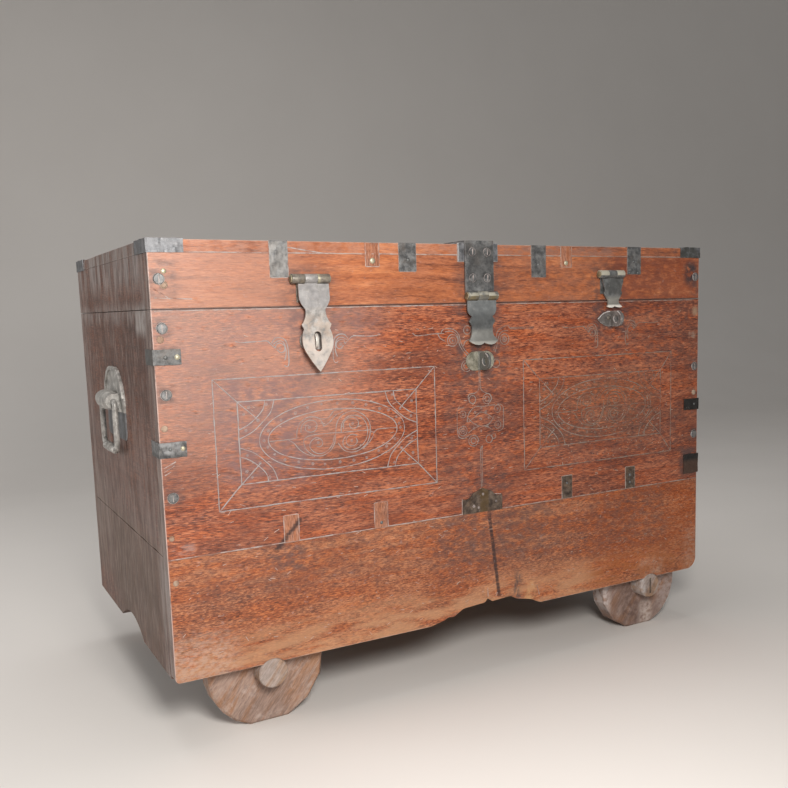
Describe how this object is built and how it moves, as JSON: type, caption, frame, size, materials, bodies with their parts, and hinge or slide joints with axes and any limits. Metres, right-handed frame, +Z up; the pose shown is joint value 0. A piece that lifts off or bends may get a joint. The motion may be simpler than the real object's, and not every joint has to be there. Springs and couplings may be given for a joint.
{
  "type": "wooden trunk",
  "caption": "Old plank trunk on solid disc wheels, with a flat box lid on back hinges, iron corner straps, padlock hasps on the front and bail handles on the ends.",
  "frame": {"origin": "centre of the footprint, on the ground under the wheels", "axes": "+X along the chest to its right end, -Y out of the front with the hasps, +Z up"},
  "size_m": [1.216, 0.6952, 0.823],
  "materials": {
    "red_wood": "worn oiled red-brown",
    "lid_top_wood": "dusty worn brown",
    "dusty_wood": "dusty grey-brown",
    "inner_wood": "bare sawn wood",
    "wheel_wood": "weathered grey-tan",
    "patch_wood": "paler let-in wood",
    "dark_iron": "dark dusty iron",
    "pale_iron": "rubbed pale iron",
    "aged_brass": "dull aged brass"
  },
  "bodies": {
    "chest": {"front_lower_board": "red_wood", "front_upper_board": "red_wood", "back_lower_board": "dusty_wood", "back_upper_board": "dusty_wood", "left_lower_end": "dusty_wood", "left_upper_end": "dusty_wood", "right_lower_end": "dusty_wood", "right_upper_end": "dusty_wood", "floor_plank_front": "inner_wood", "floor_plank_back": "inner_wood", "floor_cleats": "inner_wood", "axle_left": "wheel_wood", "axle_right": "wheel_wood", "axle_bearer_front_left": "inner_wood", "axle_bearer_back_left": "inner_wood", "axle_bearer_front_right": "inner_wood", "axle_bearer_back_right": "inner_wood", "corner_straps": "dark_iron", "joint_plates": "dark_iron", "body_patches": "patch_wood", "tongue_plate": "dark_iron", "hinge_body_leaf_left": "dark_iron", "hinge_body_leaf_right": "dark_iron", "hinge_pins": "dark_iron", "staple_left": "pale_iron", "staple_centre": "dark_iron", "staple_right": "dark_iron", "handle_plate_left": "pale_iron", "handle_plate_right": "pale_iron", "handle_foot_left": "pale_iron", "handle_foot_right": "pale_iron", "edge_screws": "dark_iron"},
    "lid": {"lid_front_rail": "red_wood", "lid_back_rail": "dusty_wood", "lid_left_rail": "dusty_wood", "lid_right_rail": "dusty_wood", "lid_plank_front": "lid_top_wood", "lid_plank_middle": "lid_top_wood", "lid_plank_back": "lid_top_wood", "lid_battens": "inner_wood", "lid_straps": "dark_iron", "lid_patches": "patch_wood", "lid_corner_plates": "dark_iron", "hinge_lid_leaf_left": "dark_iron", "hinge_lid_leaf_right": "dark_iron", "hasp_leaf_left": "pale_iron", "hasp_strap_centre": "dark_iron", "hasp_leaf_right": "dark_iron", "hasp_pins": "aged_brass", "centre_bracket": "dark_iron", "lid_screws": "dark_iron"},
    "hasp_left": {"hasp_left": "pale_iron"},
    "hasp_centre": {"hasp_centre": "dark_iron"},
    "hasp_right": {"hasp_right": "dark_iron"},
    "bail_left": {"bail_left": "pale_iron"},
    "bail_right": {"bail_right": "pale_iron"},
    "wheel_front_left": {"wheel_front_left": "wheel_wood"},
    "wheel_front_right": {"wheel_front_right": "wheel_wood"},
    "wheel_back_left": {"wheel_back_left": "wheel_wood"},
    "wheel_back_right": {"wheel_back_right": "wheel_wood"}
  },
  "joints": [
    {"name": "lid_hinge", "type": "hinge", "parent": "chest", "child": "lid", "pos_m": [0, 0.33965, 0.71082], "axis": [-1, 0, 0], "range_deg": [0, 105]},
    {"name": "hasp_left_hinge", "type": "hinge", "parent": "lid", "child": "hasp_left", "pos_m": [-0.31395, -0.31995, 0.75578], "axis": [-1, 0, 0], "range_deg": [-7, 155]},
    {"name": "hasp_centre_hinge", "type": "hinge", "parent": "lid", "child": "hasp_centre", "pos_m": [0.01323, -0.32245, 0.72366], "axis": [-1, 0, 0], "range_deg": [0, 165]},
    {"name": "hasp_right_hinge", "type": "hinge", "parent": "lid", "child": "hasp_right", "pos_m": [0.32775, -0.31995, 0.76214], "axis": [-1, 0, 0], "range_deg": [0, 165]},
    {"name": "bail_left_hinge", "type": "hinge", "parent": "chest", "child": "bail_left", "pos_m": [-0.59, 0.00985, 0.55238], "axis": [0, 1, 0], "range_deg": [0, 95]},
    {"name": "bail_right_hinge", "type": "hinge", "parent": "chest", "child": "bail_right", "pos_m": [0.59, 0.00985, 0.55238], "axis": [0, -1, 0], "range_deg": [0, 95]},
    {"name": "wheel_front_left_spin", "type": "hinge", "parent": "chest", "child": "wheel_front_left", "pos_m": [-0.4117, -0.25665, 0.09702], "axis": [0, 1, 0], "continuous": true},
    {"name": "wheel_front_right_spin", "type": "hinge", "parent": "chest", "child": "wheel_front_right", "pos_m": [0.44045, -0.25665, 0.09702], "axis": [0, 1, 0], "continuous": true},
    {"name": "wheel_back_left_spin", "type": "hinge", "parent": "chest", "child": "wheel_back_left", "pos_m": [-0.4117, 0.27635, 0.09702], "axis": [0, 1, 0], "continuous": true},
    {"name": "wheel_back_right_spin", "type": "hinge", "parent": "chest", "child": "wheel_back_right", "pos_m": [0.44045, 0.27635, 0.09702], "axis": [0, 1, 0], "continuous": true}
  ]
}
